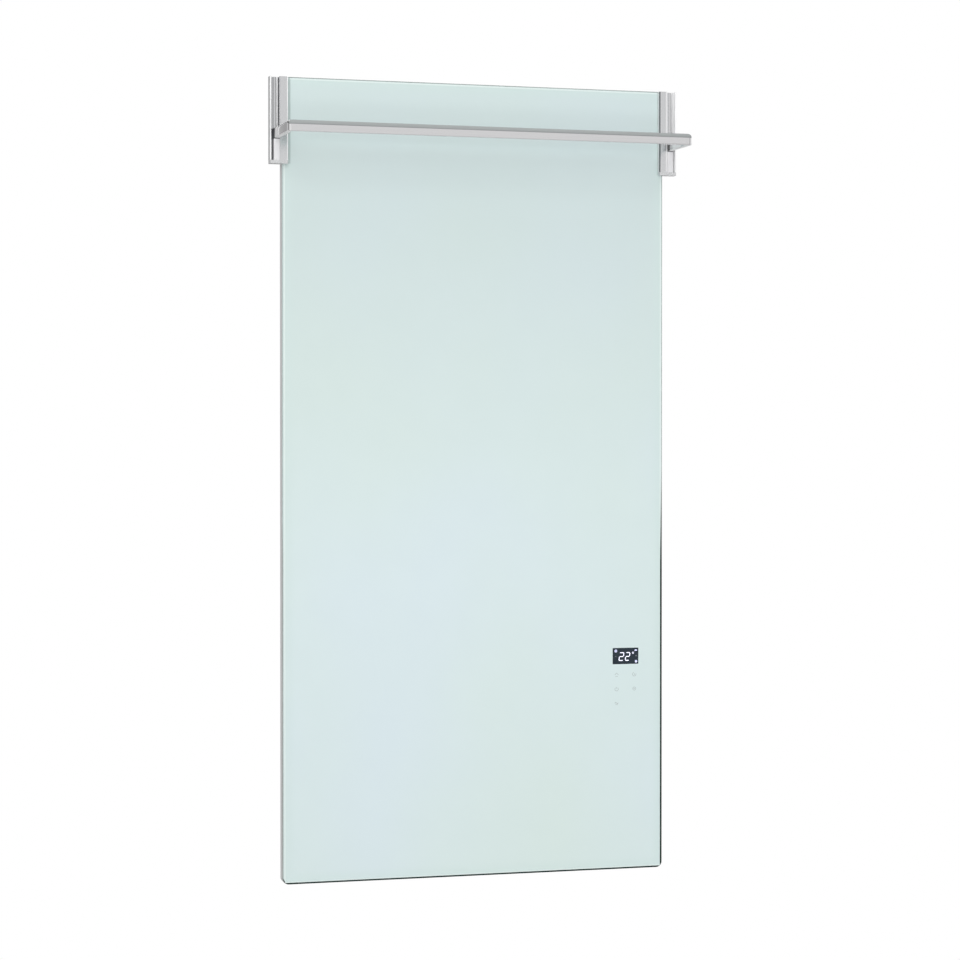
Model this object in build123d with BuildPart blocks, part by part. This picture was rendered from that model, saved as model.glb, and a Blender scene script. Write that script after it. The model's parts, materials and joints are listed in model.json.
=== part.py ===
from build123d import *
import os

os.makedirs("parts", exist_ok=True)

# Wall-mounted infrared panel heater with a lift-off towel rail.
# Frame: +Z up, the front faces -Y, Y = 0 is the wall, X = 0 is the panel's centre line,
# and Z = 0 is the middle of the four wall-screw holes, which is also the panel's middle.
# T below is a distance outwards from the panel's side edge, and D a distance in front of the glass.

# ---------------------------------------------------------------- driving dimensions (mm)
PANEL_W = 600.0
PANEL_H = 1200.0
PANEL_R = 9.0              # corner radius of the glass
WALL_GAP = 10.4            # wall to the back of the casing
CASE_D = 14.4              # depth of the folded casing
BOND_T = 1.0
ENAMEL_T = 0.2
GLASS_T = 5.0
SHEET = 0.8                # casing sheet
CASE_INSET = 0.3           # casing side behind the glass edge

Y_CASE_BACK = -WALL_GAP                      # -10.4
Y_CASE_IN = Y_CASE_BACK - SHEET              # -11.2
Y_CASE_FRONT = Y_CASE_BACK - CASE_D          # -24.8
Y_ENAMEL = Y_CASE_FRONT - BOND_T             # -25.8
Y_GLASS = Y_ENAMEL - ENAMEL_T                # -26.0
Y_FRONT = Y_GLASS - GLASS_T                  # -31.0
HALF_W = PANEL_W / 2
Z_TOP = PANEL_H / 2
CASE_W = PANEL_W - 2 * CASE_INSET
CASE_H = PANEL_H - 2 * CASE_INSET
FLANGE = 10.0              # in-turned front flange of the casing

# display and keys, lower right
DISP_X, DISP_Z = 240.5, Z_TOP - 871.2
DISP_W, DISP_H = 41.3, 25.0
KEY_X = (225.6, 254.5)
KEY_Z = (Z_TOP - 899.7, Z_TOP - 922.2, Z_TOP - 943.7)
KEYS = [(KEY_X[0], KEY_Z[0]), (KEY_X[1], KEY_Z[0]), (KEY_X[0], KEY_Z[1]), (KEY_X[1], KEY_Z[1]), (KEY_X[0], KEY_Z[2])]

# heated field and the notch that leaves room for the electronics
FIELD_X, FIELD_Z = 278.0, 578.0
NOTCH_X, NOTCH_Z = 150.0, -180.0

# wall rails, lugs and bumpers
BOLT_X, BOLT_Z = 200.0, 450.0      # half spacings of the wall-screw holes
BOLT_R = 2.75
RAIL_HALF = 220.0
LUG_X = 120.0
BUMPER_X, BUMPER_Z, BUMPER_R = 255.0, 560.0, 11.0

# side brackets
WING_IN, WING_OUT, WING_D = -7.4, 5.5, 8.3
FLANGE_IN, FLANGE_OUT, FLANGE_D = 17.85, 20.35, 6.5
FLOOR_TOP, FLOOR_BOT = -2.9, -4.9
WEB_IN, WEB_OUT, WEB_BACK = 0.5, 3.1, -17.5
BR_TOP = Z_TOP - 0.5
CAP_T = 5.0
BR_BOT = Z_TOP - 124.6
CAP_BOT = BR_BOT - CAP_T
STOP_TOP = Z_TOP - 93.0
BR_SCREW_Z = (Z_TOP - 15.0, Z_TOP - 108.0)
BR_SCREW_Y = -19.8

# towel rail
BAR_D = 97.0               # front of the bar in front of the glass
BAR_T = 7.4                # thickness of bar and arms
BAR_H = 17.2
ARM_IN = 5.9
ARM_OUT = ARM_IN + BAR_T   # 13.3
BAR_BOT = Z_TOP - 91.7
FOOT_D = 8.0
FOOT_H = 15.5
RAIL_SCREW_T = 9.6
RAIL_SCREW_Z = Z_TOP - 84.5

# electronics
BOX_X0, BOX_X1, BOX_Z0, BOX_Z1 = 170.0, 280.0, -498.0, -397.0
HATCH_X, HATCH_Z = 225.0, -447.5
GROM_X, GROM_Z, GROM_R = 225.0, -545.0, 3.7
SW_Z, SW_Y = -545.0, -17.6


def layer(y_back):
    """Plane facing the front whose sketches are extruded from y_back towards -Y."""
    return Plane.XZ.offset(-y_back)


def field(y_back, grow):
    """Outline of the heated field: a rectangle with its lower right corner notched out."""
    a, b = FIELD_X + grow, FIELD_Z + grow
    nx, nz = NOTCH_X + grow, NOTCH_Z - grow
    with BuildSketch(layer(y_back)) as outline:
        with BuildLine():
            Polyline((-a, -b), (nx, -b), (nx, nz), (a, nz), (a, b), (-a, b), close=True)
        make_face()
    return outline.sketch


def side_pts(s, pts):
    """(T, D) points of the right (s = 1) or left (s = -1) side as (x, y)."""
    return [(s * (HALF_W + t), Y_FRONT - d) for t, d in pts]


def pan_screw(pl, head_r, head_h, shank_r, length, slot=0.8):
    """Cross-head screw; pl lies on the seat with its normal towards the head."""
    lo = (Align.CENTER, Align.CENTER, Align.MIN)
    hi = (Align.CENTER, Align.CENTER, Align.MAX)
    with Locations(pl):
        Cylinder(head_r, head_h * 0.6, align=lo)
        Cylinder(shank_r, length, align=hi)
    with Locations(pl.offset(head_h * 0.6)):
        Cone(head_r, head_r * 0.72, head_h * 0.4, align=lo)
    with Locations(pl.offset(head_h)):
        Box(head_r * 1.1, slot, head_h * 0.6, align=hi, mode=Mode.SUBTRACT)
        Box(slot, head_r * 1.1, head_h * 0.6, align=hi, mode=Mode.SUBTRACT)


def csk_screw(pl, head_r, shank_r, length, slot=0.8):
    """Countersunk screw; pl lies on the head's face with its normal outwards."""
    hi = (Align.CENTER, Align.CENTER, Align.MAX)
    h = head_r - shank_r
    with Locations(pl):
        Cone(shank_r, head_r, h, align=hi)
    with Locations(pl.offset(-h)):
        Cylinder(shank_r, length - h, align=hi)
    with Locations(pl):
        Box(head_r * 1.1, slot, h * 0.55, align=hi, mode=Mode.SUBTRACT)
        Box(slot, head_r * 1.1, h * 0.55, align=hi, mode=Mode.SUBTRACT)


# ================================================================ glass stack
with BuildPart() as front_glass:
    with BuildSketch(layer(Y_GLASS)):
        RectangleRounded(PANEL_W, PANEL_H, PANEL_R)
    extrude(amount=GLASS_T)
    chamfer(front_glass.faces().sort_by(Axis.Y)[0].edges(), length=0.9)
    chamfer(front_glass.faces().sort_by(Axis.Y)[-1].edges(), length=0.6)
front_glass.part.label = "front_glass"

with BuildPart() as enamel_backprint:
    with BuildSketch(layer(Y_ENAMEL)):
        RectangleRounded(PANEL_W - 4, PANEL_H - 4, PANEL_R - 2)
        with Locations((DISP_X, DISP_Z)):
            Rectangle(DISP_W, DISP_H, mode=Mode.SUBTRACT)
        with Locations(*KEYS):
            Circle(2.4, mode=Mode.SUBTRACT)
    extrude(amount=ENAMEL_T)
enamel_backprint.part.label = "enamel_backprint"

with BuildPart() as display_window:
    with BuildSketch(layer(Y_ENAMEL)):
        with Locations((DISP_X, DISP_Z)):
            Rectangle(DISP_W - 0.2, DISP_H - 0.2)
    extrude(amount=ENAMEL_T)
display_window.part.label = "display_window"

with BuildPart() as edge_bond:
    with BuildSketch(layer(Y_CASE_FRONT)):
        RectangleRounded(CASE_W - 5, CASE_H - 5, PANEL_R - 3)
        RectangleRounded(CASE_W - 2 * FLANGE + 1.2, CASE_H - 2 * FLANGE + 1.2, 3.0, mode=Mode.SUBTRACT)
    extrude(amount=BOND_T)
edge_bond.part.label = "edge_bond"

with BuildPart() as heating_film:
    extrude(field(Y_ENAMEL + 0.5, 0), amount=0.5)
heating_film.part.label = "heating_film"

with BuildPart() as busbars:
    with BuildSketch(layer(Y_ENAMEL + 0.7)):
        with Locations((-268, -5)):
            Rectangle(10, 2 * FIELD_Z - 4)
        with Locations((268, (FIELD_Z + NOTCH_Z) / 2 - 6)):
            Rectangle(10, FIELD_Z - NOTCH_Z)
    extrude(amount=0.2)
busbars.part.label = "busbars"

with BuildPart() as mica_sheet:
    extrude(field(Y_ENAMEL + 1.2, -1), amount=0.5)
mica_sheet.part.label = "mica_sheet"

with BuildPart() as reflector_foil:
    extrude(field(Y_ENAMEL + 1.4, -2), amount=0.2)
reflector_foil.part.label = "reflector_foil"

with BuildPart() as insulation_mat:
    extrude(field(-14.6, -2), amount=(-14.6) - (Y_ENAMEL + 1.4))
insulation_mat.part.label = "insulation_mat"

# ================================================================ rear casing
with BuildPart() as rear_casing:
    with BuildSketch(layer(Y_CASE_BACK)):
        RectangleRounded(CASE_W, CASE_H, PANEL_R - 0.3)
    extrude(amount=CASE_D)
    fillet(rear_casing.faces().sort_by(Axis.Y)[-1].edges(), radius=1.4)
    with BuildSketch(layer(Y_CASE_IN)):
        RectangleRounded(CASE_W - 2 * SHEET, CASE_H - 2 * SHEET, PANEL_R - 1.1)
    extrude(amount=CASE_D - 2 * SHEET, mode=Mode.SUBTRACT)
    with BuildSketch(layer(Y_CASE_FRONT + SHEET)):
        RectangleRounded(CASE_W - 2 * FLANGE, CASE_H - 2 * FLANGE, 2.4)
    extrude(amount=SHEET, mode=Mode.SUBTRACT)
    # convection slots, openings and holes in the back sheet
    with BuildSketch(layer(Y_CASE_BACK)):
        with Locations((0, 530)):
            with GridLocations(36, 12, 13, 2):
                SlotOverall(24, 4)
        with Locations((-54, -530)):
            with GridLocations(36, 12, 10, 2):
                SlotOverall(24, 4)
        with Locations((HATCH_X, HATCH_Z)):
            RectangleRounded(104, 95, 4)
            with GridLocations(118, 54.5, 2, 3):
                Circle(1.55)
        with Locations((GROM_X, GROM_Z)):
            Circle(5.2)
        with Locations((GROM_X - 11, GROM_Z + 24), (GROM_X + 11, GROM_Z + 24)):
            Circle(1.5)
        with Locations((182, -572)):
            Circle(2.05)
        for z0 in (20.0, -880.0):
            with Locations((0, 450 + z0)):
                with Locations((-LUG_X - 13, 0), (-LUG_X + 13, 0), (LUG_X - 13, 0), (LUG_X + 13, 0)):
                    Circle(1.7)
    extrude(amount=SHEET, mode=Mode.SUBTRACT)
    # bracket screw holes through both side walls
    with Locations(*[Plane(origin=(s * (HALF_W - 0.7), BR_SCREW_Y, z), z_dir=(1, 0, 0)) for s in (-1, 1) for z in BR_SCREW_Z]):
        Cylinder(2.2, 4, mode=Mode.SUBTRACT)
    # switch cut-out in the right wall, sensor hole in the bottom wall
    with Locations((HALF_W - 0.7, SW_Y, SW_Z)):
        Box(4, 9.4, 13.9, mode=Mode.SUBTRACT)
    with Locations((60, SW_Y, -Z_TOP + 0.7)):
        Cylinder(2.6, 4, mode=Mode.SUBTRACT)
rear_casing.part.label = "rear_casing"


def hat(x0, x1, zc):
    """Shallow hat section against the inside of the casing's back."""
    y = Y_CASE_IN
    with BuildSketch(Plane.YZ.offset(x0)) as section:
        with BuildLine():
            Polyline(
                (y, zc - 20), (y, zc - 12), (y - 2.2, zc - 11.2), (y - 2.2, zc + 11.2), (y, zc + 12), (y, zc + 20),
                (y - 0.8, zc + 20), (y - 0.8, zc + 12.6), (y - 3.0, zc + 11.8), (y - 3.0, zc - 11.8), (y - 0.8, zc - 12.6), (y - 0.8, zc - 20),
                close=True,
            )
        make_face()
    extrude(section.sketch, amount=x1 - x0)


with BuildPart() as casing_stiffeners:
    hat(-272, 272, 470)
    hat(-272, 272, 10)
    hat(-272, 158, -430)
casing_stiffeners.part.label = "casing_stiffeners"

# ================================================================ hanging lugs and wall rails
with BuildPart() as hanging_lugs:
    for zh in (BOLT_Z, -BOLT_Z):
        for s in (-1, 1):
            with BuildSketch(Plane.YZ.offset(s * LUG_X - 20)):
                with BuildLine():
                    Polyline(
                        (Y_CASE_BACK, zh + 35), (Y_CASE_BACK, zh + 3.5), (-5.5, zh + 3.5), (-5.5, zh - 16.5), (-4.0, zh - 16.5),
                        (-4.0, zh + 5.0), (-8.9, zh + 5.0), (-8.9, zh + 35),
                        close=True,
                    )
                make_face()
            extrude(amount=40)
    for zh in (BOLT_Z, -BOLT_Z):
        for s in (-1, 1):
            with Locations(*[Plane(origin=(s * LUG_X + dx, -9.6, zh + 20), z_dir=(0, 1, 0)) for dx in (-13, 13)]):
                Cylinder(1.7, 3, mode=Mode.SUBTRACT)
hanging_lugs.part.label = "hanging_lugs"

with BuildPart() as lug_rivets:
    for zh in (BOLT_Z, -BOLT_Z):
        for s in (-1, 1):
            for dx in (-13, 13):
                with Locations(Plane(origin=(s * LUG_X + dx, -8.9, zh + 20), z_dir=(0, 1, 0))):
                    Cylinder(3.0, 0.5, align=(Align.CENTER, Align.CENTER, Align.MIN))
                    Cylinder(1.6, 3.3, align=(Align.CENTER, Align.CENTER, Align.MAX))
                with Locations(Plane(origin=(s * LUG_X + dx, -8.4, zh + 20), z_dir=(0, 1, 0))):
                    Cone(3.0, 1.6, 0.7, align=(Align.CENTER, Align.CENTER, Align.MIN))
                with Locations(Plane(origin=(s * LUG_X + dx, -11.2, zh + 20), z_dir=(0, 1, 0))):
                    Cylinder(2.5, 1.2, align=(Align.CENTER, Align.CENTER, Align.MAX))
lug_rivets.part.label = "lug_rivets"


def wall_rail(zh):
    """J-shaped hanging rail: wall leaf, base and an upturned lip."""
    with BuildSketch(Plane.YZ.offset(-RAIL_HALF)) as section:
        with BuildLine():
            Polyline(
                (0, zh + 12), (0, zh - 18), (-8.0, zh - 18), (-8.0, zh - 6), (-6.5, zh - 6), (-6.5, zh - 16.5),
                (-1.5, zh - 16.5), (-1.5, zh + 12),
                close=True,
            )
        make_face()
    extrude(section.sketch, amount=2 * RAIL_HALF)


with BuildPart() as wall_rail_upper:
    wall_rail(BOLT_Z)
    fillet(wall_rail_upper.edges().filter_by(Axis.X).group_by(Axis.Z)[0], radius=1.4)
    with Locations(*[Plane(origin=(x, -0.75, BOLT_Z), z_dir=(0, 1, 0)) for x in (-BOLT_X, BOLT_X)]):
        Cylinder(BOLT_R, 4, mode=Mode.SUBTRACT)
wall_rail_upper.part.label = "wall_rail_upper"

with BuildPart() as wall_rail_lower:
    wall_rail(-BOLT_Z)
    fillet(wall_rail_lower.edges().filter_by(Axis.X).group_by(Axis.Z)[0], radius=1.4)
    with Locations(*[Plane(origin=(x, -0.75, -BOLT_Z), z_dir=(0, 1, 0)) for x in (-BOLT_X, BOLT_X)]):
        Cylinder(BOLT_R, 4, mode=Mode.SUBTRACT)
wall_rail_lower.part.label = "wall_rail_lower"

with BuildPart() as wall_bumpers:
    with Locations(*[Plane(origin=(x, Y_CASE_BACK, z), z_dir=(0, 1, 0)) for x in (-BUMPER_X, BUMPER_X) for z in (-BUMPER_Z, BUMPER_Z)]):
        Cylinder(BUMPER_R, 6.4, align=(Align.CENTER, Align.CENTER, Align.MIN))
    with Locations(*[Plane(origin=(x, Y_CASE_BACK + 6.4, z), z_dir=(0, 1, 0)) for x in (-BUMPER_X, BUMPER_X) for z in (-BUMPER_Z, BUMPER_Z)]):
        Cone(BUMPER_R, BUMPER_R - 2.5, 4.0, align=(Align.CENTER, Align.CENTER, Align.MIN))
wall_bumpers.part.label = "wall_bumpers"

# ================================================================ rear hatch, cable inlet
with BuildPart() as access_hatch:
    with BuildSketch(layer(Y_CASE_BACK + 0.8)):
        with Locations((HATCH_X, HATCH_Z)):
            RectangleRounded(128, 119, 5)
            with GridLocations(118, 54.5, 2, 3):
                Circle(1.7, mode=Mode.SUBTRACT)
            with GridLocations(0, 8, 1, 5):
                SlotOverall(60, 3, mode=Mode.SUBTRACT)
    extrude(amount=0.8)
access_hatch.part.label = "access_hatch"

with BuildPart() as hatch_screws:
    for dx in (-59, 59):
        for dz in (-54.5, 0, 54.5):
            pan_screw(Plane(origin=(HATCH_X + dx, Y_CASE_BACK + 0.8, HATCH_Z + dz), z_dir=(0, 1, 0)), 2.9, 1.5, 1.4, 3.6)
hatch_screws.part.label = "hatch_screws"

with BuildPart() as cable_grommet:
    up = (Align.CENTER, Align.CENTER, Align.MIN)
    with Locations(Plane(origin=(GROM_X, -16.6, GROM_Z), z_dir=(0, 1, 0))):
        Cylinder(5.1, 8.1, align=up)
    with Locations(Plane(origin=(GROM_X, Y_CASE_BACK, GROM_Z), z_dir=(0, 1, 0))):
        Cylinder(8.0, 1.4, align=up)
    with Locations(Plane(origin=(GROM_X, Y_CASE_IN - 1.6, GROM_Z), z_dir=(0, 1, 0))):
        Cylinder(7.2, 1.6, align=up)
    with Locations(Plane(origin=(GROM_X, -20, GROM_Z), z_dir=(0, 1, 0))):
        Cylinder(GROM_R, 16, align=up, mode=Mode.SUBTRACT)
cable_grommet.part.label = "cable_grommet"

with BuildPart() as cord_clamp:
    with BuildSketch(Plane.XY.offset(GROM_Z + 20)):
        with Locations((GROM_X, -15.5)):
            Rectangle(30, 8.6)
        with Locations((GROM_X, -15.0)):
            Circle(3.8, mode=Mode.SUBTRACT)
        with Locations((GROM_X, -12.9)):
            Rectangle(7.6, 4.2, mode=Mode.SUBTRACT)
    extrude(amount=8)
    with Locations(*[Plane(origin=(GROM_X + dx, -15, GROM_Z + 24), z_dir=(0, 1, 0)) for dx in (-11, 11)]):
        Cylinder(1.5, 14, mode=Mode.SUBTRACT)
cord_clamp.part.label = "cord_clamp"

with BuildPart() as clamp_screws:
    for dx in (-11, 11):
        pan_screw(Plane(origin=(GROM_X + dx, -19.8, GROM_Z + 24), z_dir=(0, -1, 0)), 2.6, 1.5, 1.4, 9.2)
clamp_screws.part.label = "clamp_screws"

with BuildPart() as earth_stud:
    with Locations(Plane(origin=(182, Y_CASE_BACK, -572), z_dir=(0, -1, 0))):
        Cylinder(2.0, 10, align=(Align.CENTER, Align.CENTER, Align.MIN))
    with BuildSketch(layer(Y_CASE_IN)):
        with Locations((182, -572)):
            Circle(4.6)
            Circle(2.0, mode=Mode.SUBTRACT)
    extrude(amount=0.8)
    with BuildSketch(layer(Y_CASE_IN - 0.8)):
        with Locations((182, -572)):
            RegularPolygon(4.0, 6)
            Circle(2.0, mode=Mode.SUBTRACT)
    extrude(amount=3.2)
earth_stud.part.label = "earth_stud"

# ================================================================ electronics
bx, bz = (BOX_X0 + BOX_X1) / 2, (BOX_Z0 + BOX_Z1) / 2
bw, bh = BOX_X1 - BOX_X0, BOX_Z1 - BOX_Z0
POSTS = [(bx + sx * 44, bz + sz * 40) for sx in (-1, 1) for sz in (-1, 1)]

with BuildPart() as electronics_box:
    with BuildSketch(layer(-11.6)):
        with Locations((bx, bz)):
            RectangleRounded(bw, bh, 3)
    extrude(amount=Y_ENAMEL * -1 - 11.6)
    with BuildSketch(layer(-11.6)):
        with Locations((bx, bz)):
            RectangleRounded(bw - 3, bh - 3, 2)
    extrude(amount=Y_ENAMEL * -1 - 11.6 - 1.4, mode=Mode.SUBTRACT)
    with BuildSketch(layer(-22.4)):
        with Locations(*POSTS):
            Circle(3.2)
    extrude(amount=2.0)
    with Locations(*[Plane(origin=(x, -22.4, z), z_dir=(0, 1, 0)) for x, z in POSTS]):
        Cylinder(1.25, 2.6, mode=Mode.SUBTRACT)
    # cable notches in the top and bottom walls, open towards the hatch
    with BuildSketch(layer(-11.6)):
        with Locations((DISP_X, BOX_Z1)):
            Rectangle(16, 6)
        with Locations((272, BOX_Z1)):
            Rectangle(6, 6)
        with Locations((190, BOX_Z0), (254, BOX_Z0), (264, BOX_Z0)):
            Rectangle(6, 6)
        with Locations((GROM_X, BOX_Z0)):
            Rectangle(10, 6)
    extrude(amount=10.4, mode=Mode.SUBTRACT)
electronics_box.part.label = "electronics_box"

with BuildPart() as main_board:
    with BuildSketch(layer(-20.8)):
        with Locations((bx, bz)):
            RectangleRounded(bw - 8, bh - 8, 2)
        with Locations(*POSTS):
            Circle(1.5, mode=Mode.SUBTRACT)
    extrude(amount=1.6)
main_board.part.label = "main_board"

with BuildPart() as board_screws:
    for x, z in POSTS:
        pan_screw(Plane(origin=(x, -20.8, z), z_dir=(0, 1, 0)), 2.6, 1.4, 1.2, 2.6)
board_screws.part.label = "board_screws"

with BuildPart() as relay:
    with BuildSketch(layer(-12.4)):
        with Locations((200, -432)):
            RectangleRounded(20, 15.5, 0.8)
    extrude(amount=8.4)
    chamfer(relay.faces().sort_by(Axis.Y)[-1].edges(), length=0.5)
relay.part.label = "relay"

with BuildPart() as power_module:
    with BuildSketch(layer(-12.6)):
        with Locations((243, -430)):
            RectangleRounded(34, 22, 1.0)
    extrude(amount=8.2)
    chamfer(power_module.faces().sort_by(Axis.Y)[-1].edges(), length=0.6)
power_module.part.label = "power_module"

with BuildPart() as terminal_block:
    with BuildSketch(layer(-12.2)):
        with Locations((225, -476)):
            Rectangle(30.5, 10.5)
            with GridLocations(10, 0, 3, 1):
                Circle(2.1, mode=Mode.SUBTRACT)
    extrude(amount=8.6)
    with Locations(*[(225 + dx, -17.6, -481) for dx in (-10, 0, 10)]):
        Box(6.4, 5.4, 5, mode=Mode.SUBTRACT)
terminal_block.part.label = "terminal_block"

with BuildPart() as mains_fuse:
    with Locations(Plane(origin=(196, -16.8, -462), z_dir=(1, 0, 0))):
        Cylinder(2.6, 20)
    with Locations((188, -18.0, -462), (204, -18.0, -462)):
        Box(2.4, 5.6, 6.0)
mains_fuse.part.label = "mains_fuse"

with BuildPart() as display_module:
    with BuildSketch(layer(-20.8)):
        with Locations((DISP_X, DISP_Z)):
            RectangleRounded(50, 32, 1.5)
    extrude(amount=5.0)
    with BuildSketch(layer(-20.8)):
        with Locations((DISP_X, DISP_Z)):
            Rectangle(42, 24)
    extrude(amount=1.6, mode=Mode.SUBTRACT)
display_module.part.label = "display_module"

with BuildPart() as touch_board:
    with BuildSketch(layer(-22.2)):
        with Locations((DISP_X, -325)):
            RectangleRounded(57, 66, 1.5)
    extrude(amount=1.6)
touch_board.part.label = "touch_board"

with BuildPart() as touch_pads:
    with BuildSketch(layer(-23.8)):
        with Locations(*KEYS):
            Circle(6.0)
    extrude(amount=2.0)
touch_pads.part.label = "touch_pads"

with BuildPart() as display_ribbon:
    with BuildSketch(layer(-20.0)):
        with Locations((DISP_X, (-346 - 412) / 2)):
            Rectangle(13, 66)
    extrude(amount=0.6)
    with BuildSketch(layer(-20.6)):
        with Locations((DISP_X, -349)):
            Rectangle(17, 5)
    extrude(amount=1.6)
    with BuildSketch(layer(-20.6)):
        with Locations((DISP_X, -409)):
            Rectangle(17, 5)
    extrude(amount=0.2)
display_ribbon.part.label = "display_ribbon"

with BuildPart() as thermal_cutouts:
    with Locations(*[Plane(origin=(x, Y_ENAMEL, -225), z_dir=(0, 1, 0)) for x in (178, 208)]):
        Cylinder(8.2, 3.4, align=(Align.CENTER, Align.CENTER, Align.MIN))
    with Locations(*[Plane(origin=(x, Y_ENAMEL + 3.4, -225), z_dir=(0, 1, 0)) for x in (178, 208)]):
        Cylinder(6.4, 2.4, align=(Align.CENTER, Align.CENTER, Align.MIN))
    with Locations(*[(x + dx, Y_ENAMEL + 5.1, -225) for x in (178, 208) for dx in (-9, 9)]):
        Box(7, 0.8, 4.8)
thermal_cutouts.part.label = "thermal_cutouts"

with BuildPart() as room_sensor:
    with Locations((60, SW_Y, -Z_TOP - 0.2)):
        Cylinder(2.4, 13.5, align=(Align.CENTER, Align.CENTER, Align.MIN))
    fillet(room_sensor.faces().sort_by(Axis.Z)[0].edges(), radius=1.6)
room_sensor.part.label = "room_sensor"

with BuildPart() as sensor_clip:
    with BuildSketch(Plane.XY.offset(-597.8)):
        with Locations((60, SW_Y)):
            RectangleRounded(14, 8, 1.5)
            Circle(2.5, mode=Mode.SUBTRACT)
    extrude(amount=7)
sensor_clip.part.label = "sensor_clip"

with BuildPart() as film_leads:
    with BuildLine() as lead_a:
        FilletPolyline((268, -23.9, -181.5), (268, -23.9, -204), (281, -22.0, -225), (281, -19.0, -378), (272, -17.5, -393), (272, -17.5, -420), radius=7)
    with BuildSketch(Plane(origin=lead_a.line @ 0, z_dir=lead_a.line % 0)):
        Circle(1.1)
    sweep(path=lead_a.line)
    with BuildLine() as lead_b:
        FilletPolyline((-268, -23.9, -582), (-268, -22.4, -584.4), (-250, -21.8, -584.8), (183, -21.8, -584.8), (192, -20.0, -574), (190, -17.5, -500), (190, -17.5, -486), radius=0.9)
    with BuildSketch(Plane(origin=lead_b.line @ 0, z_dir=lead_b.line % 0)):
        Circle(0.8)
    sweep(path=lead_b.line)
film_leads.part.label = "film_leads"

# ================================================================ mains switch in the right wall
with BuildPart() as switch_body:
    x_out = HALF_W - CASE_INSET
    with Locations((x_out, SW_Y, SW_Z)):
        Box(1.2, 11.0, 16.0, align=(Align.MIN, Align.CENTER, Align.CENTER))
        Box(15.3, 9.2, 13.6, align=(Align.MAX, Align.CENTER, Align.CENTER))
    fillet(switch_body.edges().filter_by(Axis.X).group_by(SortBy.LENGTH)[0], radius=1.2)
    with Locations((x_out + 2, SW_Y, SW_Z)):
        Box(8.6, 7.6, 12.2, align=(Align.MAX, Align.CENTER, Align.CENTER), mode=Mode.SUBTRACT)
    with Locations(Plane(origin=(x_out - 1.4, SW_Y, SW_Z), z_dir=(0, 1, 0))):
        Cylinder(0.8, 8.8, mode=Mode.SUBTRACT)
switch_body.part.label = "switch_body"

with BuildPart() as switch_rocker:
    px, pz = x_out - 1.4, SW_Z
    with BuildSketch(Plane(origin=(px, SW_Y + 3.6, pz), x_dir=(1, 0, 0), z_dir=(0, -1, 0))):
        with BuildLine():
            Polyline((-3.4, -3.4), (-2.2, -5.3), (2.9, -5.3), (1.9, 0), (2.9, 5.3), (-2.2, 5.3), (-3.4, 3.4), close=True)
        make_face()
    extrude(amount=7.2)
    with Locations(Plane(origin=(px, SW_Y, pz), z_dir=(0, 1, 0))):
        Cylinder(0.75, 8.5)
switch_rocker.part = switch_rocker.part.rotate(Axis((HALF_W - CASE_INSET - 1.4, SW_Y, SW_Z), (0, 1, 0)), 8.0)
switch_rocker.part.label = "switch_rocker"

with BuildPart() as switch_terminals:
    with Locations(*[(HALF_W - CASE_INSET - 15.3, SW_Y, SW_Z + dz) for dz in (-3.6, 3.6)]):
        Box(7.5, 0.8, 4.4, align=(Align.MAX, Align.CENTER, Align.CENTER))
switch_terminals.part.label = "switch_terminals"

with BuildPart() as switch_leads:
    xt = HALF_W - CASE_INSET - 15.3 - 7.5
    with BuildLine() as lead_c:
        FilletPolyline((xt, SW_Y, SW_Z + 3.6), (xt - 6, SW_Y, SW_Z + 3.6), (264, SW_Y, SW_Z + 18), (264, SW_Y, -485), radius=3)
    with BuildSketch(Plane(origin=lead_c.line @ 0, z_dir=lead_c.line % 0)):
        Circle(1.1)
    sweep(path=lead_c.line)
    with BuildLine() as lead_d:
        FilletPolyline((xt, SW_Y, SW_Z - 3.6), (xt - 10, SW_Y, SW_Z - 3.6), (254, SW_Y, SW_Z + 12), (254, SW_Y, -485), radius=3)
    with BuildSketch(Plane(origin=lead_d.line @ 0, z_dir=lead_d.line % 0)):
        Circle(1.1)
    sweep(path=lead_d.line)
switch_leads.part.label = "switch_leads"

# ================================================================ side brackets
BRACKET = [
    (WING_IN, 0.6), (WING_IN, WING_D), (WING_OUT, WING_D), (WING_OUT, -0.3), (3.2, -0.3), (3.2, FLOOR_TOP),
    (7.0, FLOOR_TOP), (7.0, -1.0), (8.7, -1.0), (8.7, FLOOR_TOP), (11.0, FLOOR_TOP), (11.0, -1.0), (12.7, -1.0), (12.7, FLOOR_TOP),
    (FLANGE_IN, FLOOR_TOP), (FLANGE_IN, 0.5), (16.6, 0.7), (16.6, 1.3), (FLANGE_IN, 1.6), (FLANGE_IN, FLANGE_D), (FLANGE_OUT, FLANGE_D),
    (FLANGE_OUT, FLOOR_BOT), (WEB_OUT, FLOOR_BOT), (WEB_OUT, WEB_BACK), (WEB_IN, WEB_BACK), (WEB_IN, 0.6),
]
STRIP = [
    (3.4, -2.7), (6.8, -2.7), (6.8, -0.8), (12.9, -0.8), (12.9, -2.7), (17.6, -2.7), (17.6, 0.3), (14.5, 0.3), (14.5, FOOT_D),
    (5.7, FOOT_D), (5.7, -0.5), (3.4, -0.5),
]
FOOT = [
    (3.6, -2.5), (6.6, -2.5), (6.6, -0.6), (13.1, -0.6), (13.1, -2.5), (17.4, -2.5), (17.4, 0.1), (14.4, 0.1), (14.4, FOOT_D),
    (5.9, FOOT_D), (5.9, -0.7), (3.6, -0.7),
]
CAP_SCREWS = [(-3.9, 4.4), (2.4, 4.4)]


def prism(s, pts, z0, z1):
    """Upright piece of a side profile from z0 to z1."""
    with BuildSketch(Plane.XY.offset(z0)) as profile:
        with BuildLine():
            Polyline(*side_pts(s, pts), close=True)
        make_face()
    extrude(profile.sketch, amount=z1 - z0, dir=(0, 0, 1))


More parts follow.
